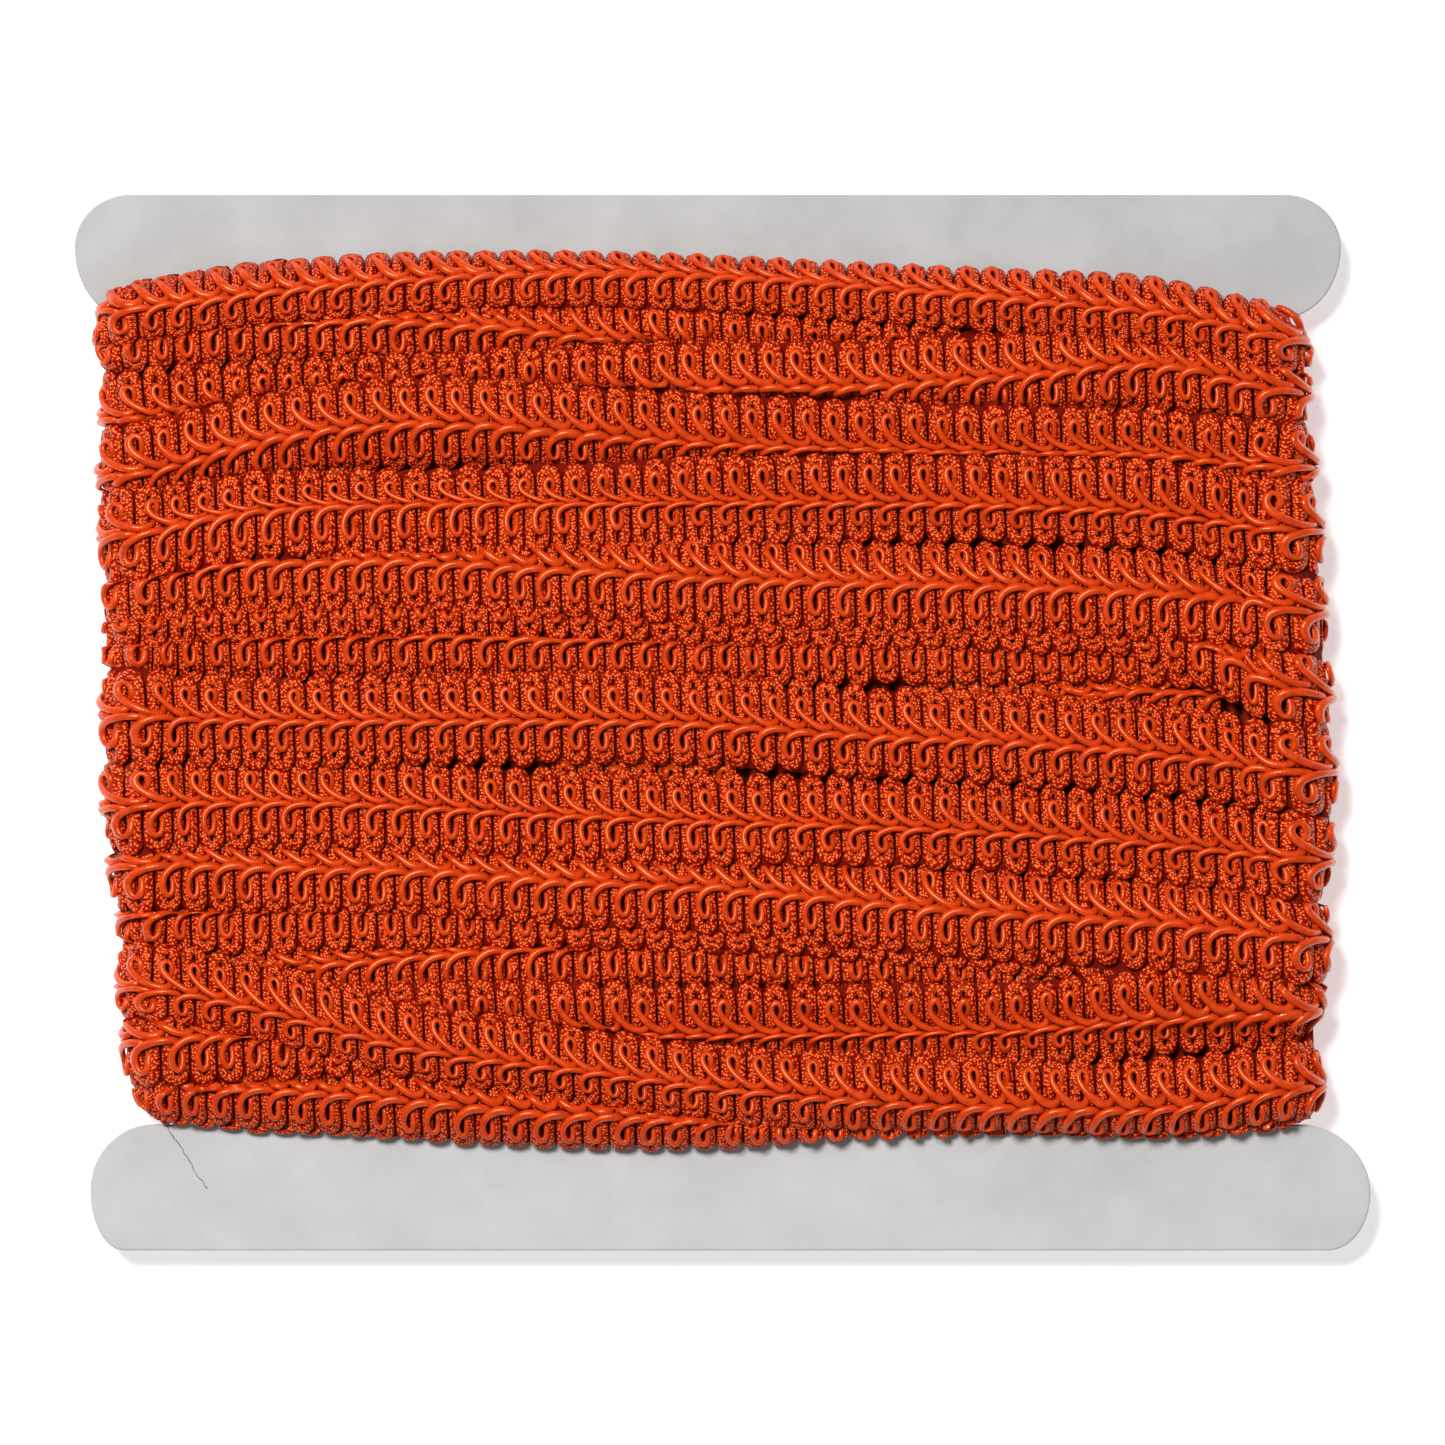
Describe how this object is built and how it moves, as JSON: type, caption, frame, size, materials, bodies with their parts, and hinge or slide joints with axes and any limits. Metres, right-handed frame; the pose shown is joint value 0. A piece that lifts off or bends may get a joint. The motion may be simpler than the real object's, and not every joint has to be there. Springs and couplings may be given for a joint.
{
  "type": "gimp braid trim on a card",
  "caption": "Half-inch scalloped gimp braid wound in overlapping courses round the neck of a flat card with two round-ended flanges.",
  "frame": {"origin": "under the middle of the object's box, on the surface it lies on", "axes": "+X along the flanges and the courses of braid, +Y up the card's face, +Z out of its face"},
  "size_m": [0.175, 0.1426, 0.0142],
  "materials": {
    "card": "pale grey board, matt, faintly mottled",
    "braid": "rayon gimp and chain-stitched cord, soft lustre"
  },
  "bodies": {
    "root": {"card": "card", "wound_braid": "braid"}
  },
  "joints": []
}
